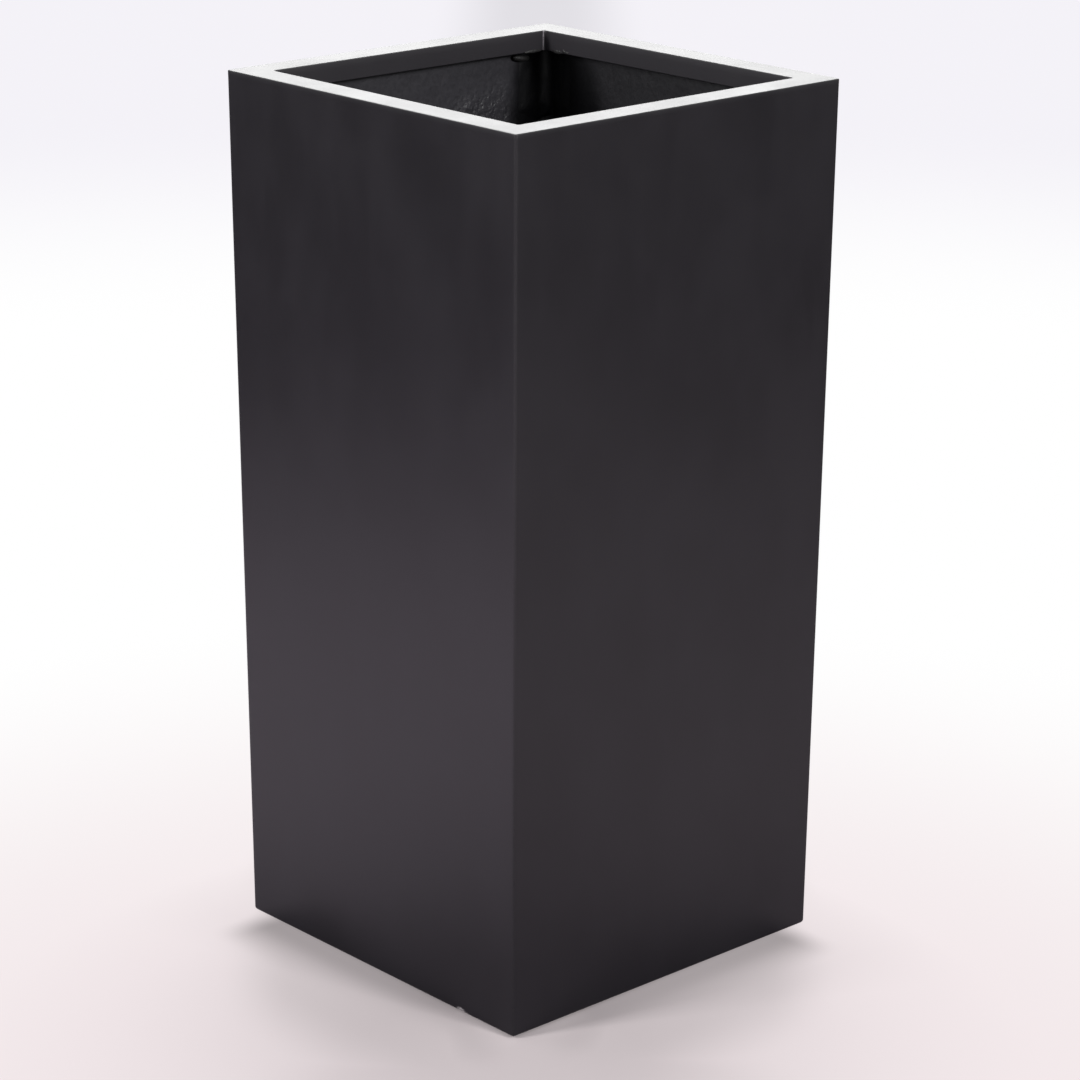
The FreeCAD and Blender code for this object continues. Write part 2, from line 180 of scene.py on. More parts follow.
def square_with_normals(half, corner, height):
    """Points round a rounded square, anticlockwise from above, and the way each one faces."""
    flat = half - corner
    points = []
    normals = []

    def on_corner(turn, facing):
        sign_x, sign_y = quadrant(turn)
        return flat * sign_x + corner * facing[0], flat * sign_y + corner * facing[1]

    for turn in range(4):
        for step in range(CORNER_STEPS + 1):
            angle = math.pi / 2 * (turn + step / CORNER_STEPS)
            facing = (math.cos(angle), math.sin(angle))
            points.append((*on_corner(turn, facing), height))
            normals.append(facing)
        start = points[-1]
        end = on_corner(turn + 1, facing)
        for step in range(1, SIDE_STEPS):
            share = step / SIDE_STEPS
            points.append((
                start[0] + (end[0] - start[0]) * share,
                start[1] + (end[1] - start[1]) * share,
                height,
            ))
            normals.append(facing)
    return np.array(points), np.array(normals)


# Every loop has as many points, so these hold for all: which way each one faces and lies
UNIT_SQUARE, FACING = square_with_normals(1, corner=0.02, height=0)
BEARING = np.arctan2(UNIT_SQUARE[:, 1], UNIT_SQUARE[:, 0])


def square(half, corner, height):
    return square_with_normals(half, corner, height)[0]


def circle(radius, height):
    heights = np.full(len(BEARING), height)
    return np.column_stack((radius * np.cos(BEARING), radius * np.sin(BEARING), heights))


def between(loop, other, share):
    return loop + (other - loop) * share


def levels(start, end, step):
    """Evenly spaced values from start to end, both included."""
    return np.linspace(start, end, max(2, round(abs(end - start) / step) + 1))


def quarter(steps):
    """The sine and cosine of each step through a quarter turn."""
    turns = (math.pi / 2 * step / steps for step in range(steps + 1))
    return [(math.sin(turn), math.cos(turn)) for turn in turns]


def smooth_share(value, start, end):
    share = min(1, max(0, (value - start) / (end - start)))
    return share * share * (3 - 2 * share)


def lumps_at(point, size=1, falloff=0.8):
    """Lumpy noise round 0 with lumps about this large."""
    return noise.fractal(Vector(point) / size, falloff, 2.1, 3)


def skin(name, sections):
    """A closed mesh over loops of points, whose last loop joins the first.

    A section is a list of loops and the index of the material that starts at each of them.
    """
    loops = [loop for section, _ in sections for loop in section]
    indices = [index for section, index in sections for _ in section]
    around = len(loops[0])
    faces = []
    for low in range(len(loops)):
        high = (low + 1) % len(loops)
        for here in range(around):
            beside = (here + 1) % around
            faces.append((
                low * around + here, low * around + beside,
                high * around + beside, high * around + here,
            ))
    mesh = bpy.data.meshes.new(name)
    mesh.from_pydata(np.concatenate(loops).tolist(), [], faces)
    mesh.polygons.foreach_set("material_index", np.repeat(indices, around))
    mesh.update()
    return mesh


def sharpen(mesh, degrees):
    """Keeps edges crisp where the surface turns by more than this."""
    mesh.set_sharp_from_angle(angle=math.radians(degrees))


def placed_in_scene(name, data):
    """A new object in the scene for a mesh, lamp or camera."""
    made = bpy.data.objects.new(name, data)
    bpy.context.scene.collection.objects.link(made)
    return made


def finished(name, mesh, materials, slot, *replaced):
    """Puts a piece in the scene on the planter with its materials, and hides the nodes it stands
    for. The slot is not used.
    """
    piece = placed_in_scene(name, mesh)
    for material in materials:
        mesh.materials.append(material)
    mesh.polygons.foreach_set("use_smooth", [True] * len(mesh.polygons))
    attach(piece, "planter")
    if replaced:
        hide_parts(*replaced)


# ------------------------------------------------------------ shader values

# The sockets of a Mix node that mixes colours
MIX_LOW = 6
MIX_HIGH = 7
MIX_RESULT = 2


class Value:
    """A socket of a shader tree. Sums on it add Math nodes, and node() adds any other node."""

    def __init__(self, tree, socket=None):
        self.tree = tree
        self.socket = socket

    def node(self, kind, settings=None, inputs=None, out=0):
        made = self.tree.nodes.new(kind)
        for name, setting in (settings or {}).items():
            if name == "stops":
                stops = made.color_ramp.elements
                for place, (position, colour) in enumerate(setting):
                    stop = stops[place] if place < 2 else stops.new(position)
                    stop.position = position
                    stop.color = (*colour, 1)
            else:
                setattr(made, name, setting)
        for name, value in (inputs or {}).items():
            if isinstance(value, Value):
                self.tree.links.new(value.socket, made.inputs[name])
            else:
                made.inputs[name].default_value = value
        return Value(self.tree, made.outputs[out])

    def also(self, out):
        """Another output of the same node."""
        return Value(self.tree, self.socket.node.outputs[out])

    def sum(self, operation, *values):
        return self.node("ShaderNodeMath", {"operation": operation}, dict(enumerate(values)))

    def vector(self, operation, other=None, out="Value"):
        """Vector maths on this value, and on another one where that is given."""
        inputs = {0: self} if other is None else {0: self, 1: other}
        return self.node("ShaderNodeVectorMath", {"operation": operation}, inputs, out)

    def __add__(self, other):
        return self.sum("ADD", self, other)

    def __sub__(self, other):
        return self.sum("SUBTRACT", self, other)

    def __mul__(self, other):
        return self.sum("MULTIPLY", self, other)

    def __truediv__(self, other):
        return self.sum("DIVIDE", self, other)

    def __pow__(self, other):
        return self.sum("POWER", self, other)

    def __rsub__(self, other):
        return self.sum("SUBTRACT", other, self)

    __radd__ = __add__
    __rmul__ = __mul__

    def unsigned(self):
        return self.sum("ABSOLUTE", self)

    def least(self, other):
        return self.sum("MINIMUM", self, other)

    def most(self, other):
        return self.sum("MAXIMUM", self, other)

    def ramp(self, start, end):
        """0 below start, 1 above end and a smooth step between them."""
        return self.node(
            "ShaderNodeMapRange", {"interpolation_type": "SMOOTHSTEP"},
            {"Value": self, "From Min": start, "From Max": end},
        )

    def near(self, edge, start, end):
        """0 until start short of an edge, and 1 from end short of it."""
        return self.ramp(edge - start, edge - end)

    def tint(self, low, high):
        """A colour that goes from low to high as this value goes from 0 to 1."""
        low, high = (end if isinstance(end, Value) else (*end, 1) for end in (low, high))
        inputs = {"Factor": self, MIX_LOW: low, MIX_HIGH: high}
        return self.node("ShaderNodeMix", {"data_type": "RGBA"}, inputs, MIX_RESULT)


def new_material(name):
    """A material with an empty tree: the material, its output and the surface's own place."""
    material = bpy.data.materials.new(name)
    material.use_nodes = True
    tree = material.node_tree
    tree.nodes.clear()
    output = tree.nodes.new("ShaderNodeOutputMaterial")
    return material, output, Value(tree).node("ShaderNodeTexCoord", out="Object")


def parts_of(place):
    """A place's X, Y and Z."""
    x = place.node("ShaderNodeSeparateXYZ", {}, {"Vector": place})
    return x, x.also("Y"), x.also("Z")


def scaled(place, x, y, z):
    return place.node("ShaderNodeMapping", {}, {"Vector": place, "Scale": (x, y, z)})


def clouds(place, size, detail=2, roughness=0.5, distortion=0.0):
    """Soft noise from 0 to 1 with blotches about this large."""
    return place.node("ShaderNodeTexNoise", {}, {
        "Vector": place, "Scale": 1 / size, "Detail": detail, "Roughness": roughness,
        "Distortion": distortion,
    })


def bumped(height, depth, strength=1.0, over=None):
    inputs = {"Height": height, "Distance": depth, "Strength": strength}
    if over:
        inputs["Normal"] = over
    return height.node("ShaderNodeBump", {}, inputs)


def surfaced(output, shader):
    output.id_data.links.new(shader.socket, output.inputs["Surface"])


def coat(output, **inputs):
    """Ends a material in one shader with these inputs, whose names have _ for a space."""
    named = {name.replace("_", " "): value for name, value in inputs.items()}
    surfaced(output, Value(output.id_data).node("ShaderNodeBsdfPrincipled", {}, named))


# ------------------------------------------------------------ materials

def satin_laminate():
    """Black satin paint in faint wiped clouds, with painted light, shade and a highlight on the
    lips, and one knock.
    """
    material, output, place = new_material("satin_laminate")
    cloudy = clouds(scaled(place, 1, 1, 0.7), 70 * MM, detail=3)
    wiped = clouds(scaled(place, 1, 1, 0.2), 26 * MM, distortion=0.4)
    grain = clouds(place, 1.6 * MM)
    speckled = grain.ramp(0.2, 0.6)
    shade = (cloudy * 0.75 + wiped * 0.25).ramp(0.3, 0.7)
    paint = shade.tint(*PAINT)

    x, y, z = parts_of(place)
    from_x = x.unsigned()
    from_y = y.unsigned()

    # The paint is a little lighter along the outer corners: partly edge wear, partly a painted
    # highlight on the edges
    drawn_in = (shell_high.z - z) * WALL_LEAN
    corner = (from_x + drawn_in).near(shell_high.x, 3 * MM, 1 * MM)
    corner *= (from_y + drawn_in).near(shell_high.x, 3.4 * MM, 1.2 * MM)
    worn_and_highlit = (corner * speckled).tint(paint, WORN_HIGHLIT_PAINT)

    # The lips are painted lighter for the light they catch, darker for painted shade on the side
    # lips beside each corner, more so lower down, and with a painted highlight, brighter at the
    # top, where the lips meet
    on_lip = 1 - from_x.most(from_y).ramp(MOUTH, MOUTH + RIM_EDGE)
    up_lip = z.ramp(rim_low.z, rim_high.z)
    # The lips painted lighter for the light they catch
    lit_lips = (on_lip * z.ramp(rim_low.z - 2 * MM, rim_low.z)).tint(worn_and_highlit, LIT_LIP_PAINT)
    # Painted shade on the side lips beside each corner, darker lower down
    by_corner = from_y.near(MOUTH, 9 * MM, 5 * MM) * from_x.near(MOUTH, 0.8 * MM, 0.4 * MM)
    lip_shade = (by_corner * on_lip * (0.9 - up_lip * 0.5)).tint(lit_lips, paint)
    # A painted highlight where the lips meet, brighter towards the top
    meeting = from_x.near(MOUTH, 2.4 * MM, 1.4 * MM) * from_y.near(MOUTH, 0.6 * MM, 0.3 * MM)
    corner_highlight = meeting * on_lip * speckled * (0.45 + up_lip * 0.55)

    off = scaled(place.vector("SUBTRACT", NICK, out="Vector"), 1, 1 / NICK_STRETCH, 1)
    reach = off.vector("LENGTH")
    bare = 1 - (reach + (grain - 0.5) * NICK_RAGGED).ramp(1.2 * MM, 3.2 * MM)
    coat(
        output,
        Base_Color=bare.tint(corner_highlight.tint(lip_shade, PAINTED_CORNER_HIGHLIGHT), BARE_LAMINATE),
        Roughness=0.33 + (shade - 0.5) * 0.04 + (grain - 0.5) * 0.05 + bare * 0.2,
        Normal=bumped(grain, 0.012 * MM, over=bumped(cloudy, 0.012 * MM)),
    )
    return material


def mat_and_resin():
    """Glass mat under brushed black resin, lumpy on the walls, with painted shade on the side
    walls, in the corners and under the lip.
    """
    material, output, place = new_material("mat_and_resin")
    x, y, z = parts_of(place)
    from_x = x.unsigned()
    from_y = y.unsigned()
    side_wall = (from_x - from_y).ramp(-1 * MM, 1 * MM)
    below_rim = rim_low.z - z
    depth = below_rim.least(CORNER_SHADE_DEPTH)
    along = (from_x + depth * CORNER_SHADE_SPREAD[0]).least(from_y + depth * CORNER_SHADE_SPREAD[1] + CORNER_SHADE_SKEW)
    drift = (clouds(place, 26 * MM) - 0.5) * 8 * MM
    # Painted shade in the inner corners, wider further down; the same mask smooths the mat there
    corner_shade = (along + drift).ramp(CORNER_SHADE_START - side_wall * 4 * MM, CORNER_SHADE_END)

    # The strands of the mat, the lumps they lie in, and where these stand out
    strands = clouds(place, 2.6 * MM, detail=3, roughness=0.6, distortion=0.4)
    lumps = clouds(place, 5.2 * MM)
    swells = clouds(place, 24 * MM, detail=1) - 0.5
    deep_enough = (depth + swells * 20 * MM - side_wall * 45 * MM).ramp(24 * MM, 56 * MM)
    lumpy = deep_enough * (along + swells * 50 * MM).ramp(45 * MM, 105 * MM)
    rough = (0.12 + lumpy * 0.88) * (1 - corner_shade * 0.85)

    shade = (strands * 0.4 + lumps * 0.6).ramp(0.25, 0.75)
    # The side walls are painted darker than the back and front walls: painted shade
    mat = side_wall.tint(shade.tint(*WETTED_MAT), shade.tint(*SHADED_SIDE_WALL_MAT))
    # A dark band painted on the wall just under the lip: painted shade
    shade_under_lip = 1 - below_rim.ramp(5.5 * MM, 7.5 * MM)
    shade_under_lip *= 1 - side_wall * (1 - along.ramp(110 * MM, 125 * MM))
    coat(
        output,
        Base_Color=corner_shade.most(shade_under_lip).tint(mat, strands.tint(*PAINTED_SHADE_TONES)),
        Roughness=0.42 + (strands - 0.5) * 0.12 - corner_shade * 0.06,
        Normal=bumped((strands * 0.2 + lumps) * rough, 2.0 * MM),
    )
    return material


def bonding_paste():
    """Black paste pressed out of the joint: knife marks, pinholes and a wet shine."""
    material, output, place = new_material("bonding_paste")
    drag = clouds(place, 5 * MM, detail=3, distortion=0.8)
    pits = place.node("ShaderNodeTexVoronoi", {}, {"Vector": place, "Scale": 1 / (4 * MM)})
    pinholes = 1 - pits.ramp(0.10, 0.22)
    coat(
        output,
        Base_Color=drag.tint(*PASTE_TONES),
        Roughness=0.38 + drag * 0.16 + pinholes * 0.2,
        Normal=bumped(drag - pinholes * 0.4, 0.5 * MM, 0.6),
    )
    return material


def black_rubber():
    """Moulded rubber: matt, with a mould bloom and dust in its pores."""
    material, output, place = new_material("black_rubber")
    bloom = clouds(place, 7 * MM, detail=3).ramp(0.35, 0.75)
    pores = clouds(place, 0.8 * MM)
    coat(
        output,
        Base_Color=bloom.tint(*RUBBER_TONES),
        Roughness=0.62 + bloom * 0.12 + (pores - 0.5) * 0.1,
        Normal=bumped(pores, 0.04 * MM, 0.6),
    )
    return material


SATIN = satin_laminate()
MAT = mat_and_resin()
PASTE = bonding_paste()
RUBBER = black_rubber()


# ------------------------------------------------------------ the shell

def outer_half(height):
    return shell_high.x - (shell_high.z - height) * WALL_LEAN


def inner_half(height):
    return outer_half(height) - WALL


def wave(point):
    """The slow unevenness of a hand laid wall, from 0 to 1."""
    return 0.5 + 0.5 * noise.noise(Vector(point) / (170 * MM))


def mat_relief(point):
    """How proud the mat and resin stand here, from -1 to 1: smooth near the rim, rough below."""
    place = Vector(point)
    runs = noise.noise(Vector((place.x, place.y, place.z * 0.4)) / (34 * MM))
    below_rim = rim_low.z - place.z
    roughness = 0.25 + 0.75 * smooth_share(below_rim, SMOOTH_BAND, SMOOTH_BAND + ROUGH_DEPTH)
    return roughness * (0.75 * lumps_at(place, 11 * MM, falloff=0.75) + 0.5 * runs)


def pushed_in(loop, amounts):
    """The loop with each point moved towards the planter's middle by its amount."""
    moved = loop.copy()
    moved[:, :2] -= FACING * np.asarray(amounts)[:, None]
    return moved


def nick_depth(point):
    off = Vector(point) - NICK
    off.y /= NICK_STRETCH
    return NICK_DEPTH * (1 - smooth_share(off.length, 0, NICK_REACH))


def outer_loop(half, height):
    loop = square(half, OUTER_CORNER, height)
    return pushed_in(loop, [OUTER_WAVE * wave(point) + nick_depth(point) for point in loop])


def inner_loop(height):
    """A loop of the rough inner wall. The relief dies out at the top, where the rim is bonded."""
    loop = square(inner_half(height), INNER_CORNER, height)
    fade = 1 - smooth_share(height, rim_low.z, bead_low.z)
    return pushed_in(loop, [fade * MAT_RELIEF * mat_relief(point) for point in loop])


def rough_floor(loop):
    """The loop with each point raised by the relief of the mat."""
    moved = loop.copy()
    moved[:, 2] += [FLOOR_RELIEF * mat_relief(point) for point in loop]
    return moved


def body_shell():
    """The wall, the base with its pushed-up middle, the gully inside and the drain hole's boss."""
    low = shell_low.z
    under = low + BASE_RISE
    gully = low + WALL
    floor = under + WALL
    boss = floor + BOSS_HEIGHT
    foot = outer_half(low)
    rise_inside = foot - BASE_EDGE - BASE_BAND
    wide_gully = inner_half(gully) - COVE
    gully_corner = INNER_CORNER / 2

    underside = [circle(HOLE_RADIUS, under), circle(BOSS_RADIUS, under)]
    underside += [square(rise_inside - RISE_RUN, COVE, under), square(rise_inside, COVE, low)]

    outside = [
        outer_loop(foot - BASE_EDGE * (1 - sine), low + BASE_EDGE * (1 - cosine))
        for sine, cosine in quarter(EDGE_STEPS)
    ]
    outer_levels = [low + level * MM for level in FOOT_LEVELS]
    outer_levels += [*levels(low + OUTER_START, shell_high.z, OUTER_STEP)]
    outside += [outer_loop(outer_half(height), height) for height in outer_levels]

    fine_end = patch_low.z - FINE_MARGIN
    inner_levels = [*levels(bead_low.z, fine_end, FINE_STEP)]
    inner_levels += [*levels(fine_end, gully + COVE, WALL_STEP)][1:]
    inside = [square(inner_half(shell_high.z), INNER_CORNER, shell_high.z)]
    inside += [inner_loop(height) for height in inner_levels]

    bottom = [
        rough_floor(square(
            wide_gully + COVE * cosine, INNER_CORNER - COVE * sine * 0.5, gully + COVE * (1 - sine),
        ))
        for sine, cosine in quarter(EDGE_STEPS)[1:]
    ]
    raised_edge = square(GULLY_EDGE - GULLY_SLOPE, gully_corner, floor)
    boss_foot = circle(BOSS_RADIUS, floor)
    bottom += [rough_floor(square(GULLY_EDGE, gully_corner, gully))]
    bottom += [
        rough_floor(between(raised_edge, boss_foot, step / FLOOR_LOOPS))
        for step in range(FLOOR_LOOPS)
    ]
    bottom += [
        boss_foot,
        circle(BOSS_RADIUS, boss - BOSS_BEVEL),
        circle(BOSS_RADIUS - BOSS_BEVEL, boss),
        circle(HOLE_RADIUS + RIM_EDGE, boss),
        circle(HOLE_RADIUS, boss - SEAT),
    ]
    mesh = skin("body_shell", [(underside, 0), (outside, 0), (inside, 1), (bottom, 1)])
    sharpen(mesh, degrees=38)
    finished("shell", mesh, [SATIN, MAT], "satin_laminate", "body_shell")


body_shell()


# ------------------------------------------------------------ the rim and what bonds it

def rim_frame():
    """The flat return rim with its rounded edges and the lip that hangs down inside the mouth."""
    top = rim_high.z
    under = shell_high.z
    outer = rim_high.x
    lip_outer = MOUTH + LIP
    lip_corner = MOUTH_CORNER + LIP
    hidden = [square(lip_outer, lip_corner, rim_low.z)]
    hidden += [
        square(lip_outer + LIP_ROOT * (1 - cosine), lip_corner, under - LIP_ROOT * (1 - sine))
        for sine, cosine in quarter(LIP_ROOT_STEPS)
    ]
    hidden += [square(outer - RIM_EDGE, OUTER_CORNER, under)]

    shown = [square(outer, OUTER_CORNER, under)]
    for sine, cosine in quarter(EDGE_STEPS):
        rounding = RIM_EDGE * (1 - cosine)
        height = top - RIM_EDGE * (1 - sine)
        shown.append(square(outer - rounding, OUTER_CORNER - rounding, height))
    flange_outside = square(outer - RIM_EDGE, OUTER_CORNER - RIM_EDGE, top)
    flange_inside = square(MOUTH + RIM_EDGE, MOUTH_CORNER, top)
    shown += [between(flange_outside, flange_inside, share) for share in (0.03, 0.5, 0.97)]
    shown += [
        square(MOUTH + RIM_EDGE * (1 - sine), MOUTH_CORNER, top - RIM_EDGE * (1 - cosine))
        for sine, cosine in quarter(EDGE_STEPS)
    ]
    shown += [
        square(MOUTH, MOUTH_CORNER, height)
        for height in levels(top - RIM_EDGE, rim_low.z + LIP_BEVEL, LIP_STEP)[1:]
    ]
    shown += [square(MOUTH + LIP_BEVEL, MOUTH_CORNER, rim_low.z)]
    mesh = skin("rim_frame", [(hidden, 0), (shown, 0)])
    sharpen(mesh, degrees=35)
    finished("rim", mesh, [SATIN], "satin_laminate", "rim_frame")


def bond_bead():
    """The paste pressed out under the rim and smeared against the wall, thicker and thinner."""
    wall = inner_half(bead_low.z)
    high_wall = inner_half(bead_high.z)
    thin_edge = high_wall - BEAD_WIDTH
    face = []
    for step in range(BEAD_STEPS + 1):
        share = step / BEAD_STEPS
        belly = math.sin(math.pi * share)
        half = thin_edge + (wall - thin_edge) * share - belly * BEAD_SAG
        height = bead_high.z + (bead_low.z - bead_high.z) * share - belly * BEAD_SAG
        loop = square(half, INNER_CORNER - BEAD_WIDTH * 0.6 * (1 - share), height)
        spread = belly * BEAD_SPREAD
        face.append(pushed_in(loop, [spread * lumps_at(point, 13 * MM) for point in loop]))
    back = [
        square(high_wall, INNER_CORNER, bead_high.z - SEAT),
        square(high_wall - BEAD_WIDTH * 0.5, INNER_CORNER, bead_high.z - SEAT),
    ]
    mesh = skin("bond_bead", [(face, 0), (back, 0)])
    sharpen(mesh, degrees=60)
    finished("paste_bead", mesh, [PASTE], "bonding_paste", "rim_bond_bead")


rim_frame()
bond_bead()


# ------------------------------------------------------------ mat and resin in the corners

def corner_path(run, inset, height):
    """A point of the back right inner corner. A strip's ends are at a run of -1 and 1."""
    half = inner_half(height) - inset
    radius = INNER_CORNER - inset
    centre = half - radius
    distance = run * (PATCH_REACH - INNER_CORNER + PATCH_ARC / 2)
    past = abs(distance) - PATCH_ARC / 2
    if past <= 0:
        angle = math.pi / 4 + distance / INNER_CORNER
        return centre + radius * math.cos(angle), centre + radius * math.sin(angle)
    if distance > 0:
        return centre - past, half
    return half, centre - past


def turned(points, turn):
    """Points moved from the back right corner to the corner this many quarter turns on."""
    angle = math.pi / 2 * turn
    turning = np.array(((math.cos(angle), math.sin(angle)), (-math.sin(angle), math.cos(angle))))
    moved = np.array(points)
    moved[:, :2] = moved[:, :2] @ turning
    return moved


def slab(name, front, back):
    """A closed sheet between two grids of points, given as rows of equal length."""
    rows = len(front)
    columns = len(front[0])
    count = rows * columns
    faces = []

    def at(row, column):
        return row * columns + column

    for row in range(rows - 1):
        for column in range(columns - 1):
            quad = (
                at(row, column), at(row, column + 1),
                at(row + 1, column + 1), at(row + 1, column),
            )
            faces.append(quad)
            faces.append(tuple(index + count for index in reversed(quad)))
    border = [at(0, column) for column in range(columns)]
    border += [at(row, columns - 1) for row in range(1, rows)]
    border += [at(rows - 1, column) for column in range(columns - 2, -1, -1)]
    border += [at(row, 0) for row in range(rows - 2, 0, -1)]
    for here, beside in zip(border, border[1:] + border[:1]):
        faces.append((beside, here, here + count, beside + count))
    mesh = bpy.data.meshes.new(name)
    points = [tuple(point) for grid in (front, back) for row in grid for point in row]
    mesh.from_pydata(points, [], faces)
    mesh.update()
    return mesh


def corner_patch(corner, turn):
    """A strip of mat wetted into one inner corner, feathered and uneven at its border."""
    seed = Vector((3.1 * turn, 5.7, 1.3))
    front = []
    back = []
    for row in range(PATCH_ROWS + 1):
        down = row / PATCH_ROWS
        height = patch_high.z + (patch_low.z - patch_high.z) * down
        front_row = []
        back_row = []
        for column in range(PATCH_COLUMNS + 1):
            run = -1 + 2 * column / PATCH_COLUMNS
            place = Vector((run * PATCH_REACH, height, 0)) / (9 * MM) + seed
            ragged = 0.05 * noise.noise(place)
            full = 1 - smooth_share(abs(run) + ragged, *PATCH_FADE_SIDEWAYS)
            full *= 1 - smooth_share(down + ragged, *PATCH_FADE_DOWN)
            relief = 0.35 * lumps_at(place * 1.6)
            inset = PATCH_THICKNESS * full * (0.85 + 0.15 * relief) - PATCH_SINK * (1 - full)
            front_row.append((*corner_path(run, inset, height), height))
            back_row.append((*corner_path(run, -PATCH_SINK - SEAT, height), height))
        front.append(turned(front_row, turn))
        back.append(turned(back_row, turn))
    node = f"corner_patch_{corner}"
    finished(f"corner_mat_{corner}", slab(node, front, back), [MAT], "mat_and_resin", node)


for corner, turn in CORNERS.items():
    corner_patch(corner, turn)


# ------------------------------------------------------------ paste squeezed out under the lip

# Each drip's middle and radii in mm, and how far its +X end droops, in the back right corner
SEEN_DRIPS = (
    ((138, 151.6, 744.9), (11, 1.6, 1.6), 0),
    ((142.5, 172.3, 735.8), (10, 3.3, 3.4), 8),
    ((153.3, 136, 745.0), (1.4, 7.5, 2.2), 0),
    ((152.9, 127, 746.2), (1.4, 1.7, 2.2), 0),
    ((152.9, 122.5, 745.6), (1.4, 2.2, 1.5), 0),
)
DRIP_GRAIN = 0.7 * MM
DRIP_KNOBS = 0.3 * MM


def chance_drips(turn):
    """Drips of the same kind for a corner that the rim hides."""
    chance = random.Random(turn)
    drips = [((150.5, 150.5, 743.4), (3.4, 3.4, 2.0), 0)]
    for _ in range(3):
        middle = (chance.uniform(118, 146), 152.6, chance.uniform(743.6, 744.8))
        radii = (chance.uniform(4, 10), 1.5, chance.uniform(1.2, 2.2))
        drips.append((middle, radii, chance.uniform(-6, 6)))
    return drips


def squeeze_out(corner, turn, drips):
    """Paste that was pressed out between wall and lip and set in drips, melted together."""
    name = f"squeeze_out_{corner}"
    form = bmesh.new()
    for middle, radii, droop in drips:
        placed = (
            Matrix.Rotation(math.pi / 2 * turn, 4, "Z")
            @ Matrix.Translation(Vector(middle) * MM)
            @ Matrix.Rotation(math.radians(droop), 4, "Y")
            @ Matrix.Diagonal((*Vector(radii) * MM, 1))
        )
        bmesh.ops.create_icosphere(form, subdivisions=4, radius=1, matrix=placed)
    mesh = bpy.data.meshes.new(name)
    form.to_mesh(mesh)
    form.free()
    blank = placed_in_scene("blank", mesh)
    melt = blank.modifiers.new("melt", "REMESH")
    melt.mode = "VOXEL"
    melt.voxel_size = DRIP_GRAIN
    soften = blank.modifiers.new("soften", "SMOOTH")
    soften.iterations = 6
    seen = blank.evaluated_get(bpy.context.evaluated_depsgraph_get())
    melted = bpy.data.meshes.new_from_object(seen)
    bpy.data.objects.remove(blank)
    bpy.data.meshes.remove(mesh)
    for vertex in melted.vertices:
        vertex.co += vertex.normal * lumps_at(vertex.co, 3.5 * MM) * DRIP_KNOBS
    finished(name, melted, [PASTE], "bonding_paste")


for corner, turn in CORNERS.items():
    squeeze_out(corner, turn, SEEN_DRIPS if turn == 0 else chance_drips(turn))


# ------------------------------------------------------------ rubber

def dressed_in(material, slot, *nodes):
    """Gives CAD nodes that keep their own shape their finish."""
    for name in nodes:
        node = frame["nodes"][name]
        node.data.materials.clear()
        node.data.materials.append(material)


dressed_in(RUBBER, "black_rubber", "drain_plug", *(f"foot_pad_{corner}" for corner in CORNERS))


# ------------------------------------------------------------ the studio

VIEW_HEADING = math.radians(47.605)
VIEW_DOWN = math.radians(18.004)
VIEW_ROLL = math.radians(0.335)
CAMERA_PLACE = Vector((-1.9139, -2.1091, 1.2815))
LENS = 115.355
SENSOR = 36

AHEAD = Vector((math.cos(VIEW_HEADING), math.sin(VIEW_HEADING), 0))
LEFT = Vector((-math.sin(VIEW_HEADING), math.cos(VIEW_HEADING), 0))

# The world's light, and the paper on the floor: its own colour, and what the lens sees of it
WORLD_TINT = (0.97, 0.96, 1)
WORLD_LEVEL = 0.35
PAPER = (0.86, 0.775, 0.785)
PAPER_NEAR = (0.895, 0.815, 0.83)
PAPER_FAR = (0.905, 0.888, 0.935)
PAPER_REACH = 14

# The paper as the walls mirror it, with painted light and shade along a strip this wide from
# its right end, 0, to its left, 1
STRIP = 5
PAINTED_LIGHT_ACROSS = (
    (0.06, (0.12, 0.108, 0.114)),
    (0.14, (0.38, 0.340, 0.360)),
    (0.33, (0.54, 0.473, 0.505)),
    (0.43, (0.62, 0.534, 0.578)),
    (0.50, (0.75, 0.650, 0.720)),
    (0.56, (0.80, 0.698, 0.786)),
    (0.73, (0.80, 0.698, 0.790)),
    (0.85, (0.14, 0.124, 0.14)),
)

# The soft shade on the paper in front of the planter, to the left and ahead of its middle
SHADE_LEFT = 0.025
SHADE_AHEAD = -0.30
SHADE_WIDTH = 0.30
SHADE_LENGTH = 0.33


def camera():
    """The view from above the front left edge, with a long lens."""
    eye = bpy.data.cameras.new("camera")
    eye.lens = LENS
    eye.sensor_width = SENSOR
    holder = placed_in_scene("camera", eye)
    holder.matrix_world = (
        Matrix.Translation(CAMERA_PLACE)
        @ Matrix.Rotation(VIEW_HEADING - math.pi / 2, 4, "Z")
        @ Matrix.Rotation(math.pi / 2 - VIEW_DOWN, 4, "X")
        @ Matrix.Rotation(VIEW_ROLL, 4, "Z")
    )
    bpy.context.scene.camera = holder


def soft_box(name, place, aim_height, size, radiance):
    """A rectangular lamp turned to the planter's axis, whose face is this bright."""
    ahead, left, up = place
    width, tall = size
    lamp = bpy.data.lights.new(name, "AREA")
    lamp.shape = "RECTANGLE"
    lamp.size = width
    lamp.size_y = tall
    lamp.energy = radiance * math.pi * width * tall
    holder = placed_in_scene(name, lamp)
    holder.location = AHEAD * ahead + LEFT * left + Vector((0, 0, up))
    towards = Vector((0, 0, aim_height)) - holder.location
    holder.rotation_euler = towards.to_track_quat("-Z", "Y").to_euler()


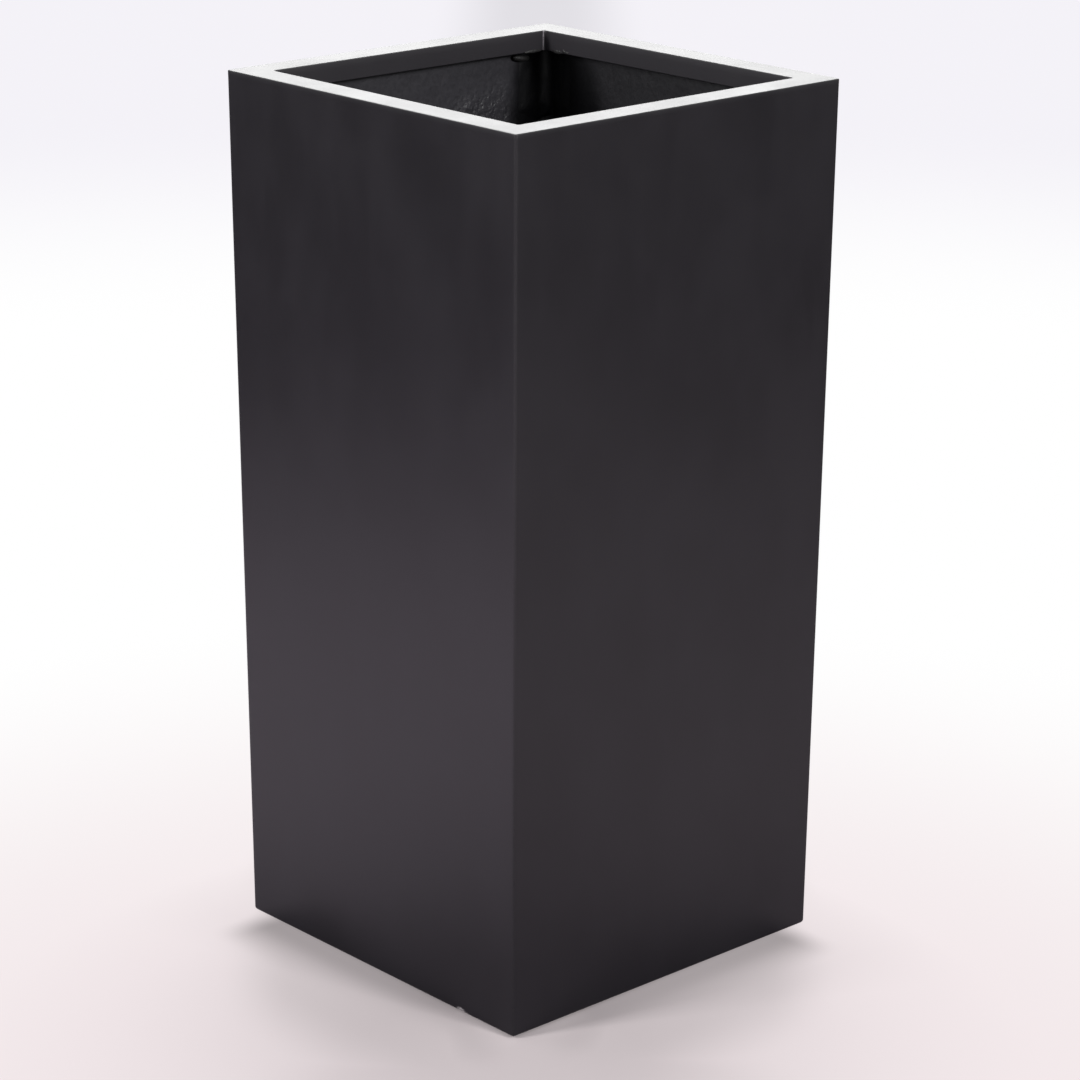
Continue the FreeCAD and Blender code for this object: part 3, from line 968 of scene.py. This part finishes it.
def world():
    """A white studio for the lens and for shine, at a plain level for everything else."""
    studio = bpy.data.worlds.new("studio")
    bpy.context.scene.world = studio
    studio.use_nodes = True
    tree = studio.node_tree
    tree.nodes.clear()
    start = Value(tree)
    path = start.node("ShaderNodeLightPath", out="Is Camera Ray")
    seen = (path + path.also("Is Glossy Ray") + path.also("Is Transmission Ray")).least(1)
    plain, white = (
        start.node("ShaderNodeBackground", {}, {"Color": (*tint, 1), "Strength": level})
        for tint, level in ((WORLD_TINT, WORLD_LEVEL), (WHITE, 1))
    )
    mixed = start.node("ShaderNodeMixShader", {}, {0: seen, 1: plain, 2: white})
    surfaced(tree.nodes.new("ShaderNodeOutputWorld"), mixed)


def floor():
    """Pale paper on the floor with painted shade by the planter, which the lens sees turn white
    further out.
    """
    corners = [(*(sign * PAPER_REACH for sign in quadrant(turn)), 0) for turn in range(4)]
    mesh = bpy.data.meshes.new("floor")
    mesh.from_pydata(corners, [], [(0, 1, 2, 3)])
    sheet = placed_in_scene("floor", mesh)

    material, output, place = new_material("studio_paper")
    mesh.materials.append(material)
    seen = place.node("ShaderNodeLightPath", out="Is Camera Ray")
    across = place.vector("DOT_PRODUCT", LEFT)
    ahead = place.vector("DOT_PRODUCT", AHEAD)
    x, y, _ = parts_of(place)
    past_x = (x.unsigned() - shell_high.x).most(0)
    past_y = (y.unsigned() - shell_high.x).most(0)
    from_foot = (past_x * past_x + past_y * past_y) ** 0.5

    # Painted shade on the paper: light hardly gets in under the two front walls, the less the
    # further from the front edge, and a fainter band runs round the foot and ahead of it
    beside = across.unsigned()
    shut_in = (1 - from_foot.ramp(0, 0.06)) * beside.ramp(0.01, 0.06)
    shut_in *= (1 - x.most(y).ramp(0.135, 0.17)) * (beside * 1.6 + 0.15)
    band = from_foot.ramp(0.02, 0.06) * (1 - from_foot.ramp(0.07, 0.16))
    band *= 1 - beside.ramp(0.20, 0.27)
    front = (from_foot - beside).ramp(-0.05, 0) * (1 - beside.ramp(0.05, 0.25))
    shaded = shut_in + band.most(front) * 0.16

    # What the walls mirror: a painted pool of light on the paper that ends to the left and the
    # right, and painted shade by the front edge
    front_edge = Vector((-shell_high.x, -shell_high.x, 0))
    edge_shade = 1 - place.vector("DISTANCE", front_edge).ramp(0.1, 0.65)
    reflected_light = place.node(
        "ShaderNodeValToRGB", {"stops": PAINTED_LIGHT_ACROSS}, {"Fac": across / STRIP + 0.5},
    )
    shaded_reflection = (edge_shade * 0.43).tint(reflected_light, BLACK)
    paper = shaded.tint(seen.tint(shaded_reflection, PAPER), BLACK)
    lit = place.node("ShaderNodeBsdfDiffuse", {}, {"Color": paper})

    # What the lens sees: the lit paper by the foot, and further out the paper's own white, both
    # with the painted shade by the foot
    distance = place.vector("DISTANCE", AHEAD * -0.45)
    whiter = distance.ramp(0.4, 1.3).tint(PAPER_NEAR, WHITE)
    whiter = distance.ramp(2.6, 4.2).tint(whiter, PAPER_FAR)
    white = place.node("ShaderNodeEmission", {}, {"Color": shaded.tint(whiter, BLACK)})
    out_of_shade = (
        ((across - SHADE_LEFT) / SHADE_WIDTH) ** 2 + ((ahead - SHADE_AHEAD) / SHADE_LENGTH) ** 2
    ) ** 0.5
    fade = ((out_of_shade - 0.3) / 1.2).most(0.1).least(1) * seen
    surfaced(output, place.node("ShaderNodeMixShader", {}, {0: fade, 1: lit, 2: white}))


camera()
world()
floor()
soft_box("back_light", (4.6, -0.4, 2.3), rim_high.z, (4.4, 1.8), 3.5)
soft_box("left_light", (-1.2, 2.2, 1.5), 0.5, (0.5, 0.6), 41)
soft_box("right_light", (-1.75, -1.85, 1.5), 0.5, (0.5, 0.6), 41)
bpy.context.scene.view_settings.view_transform = "Standard"
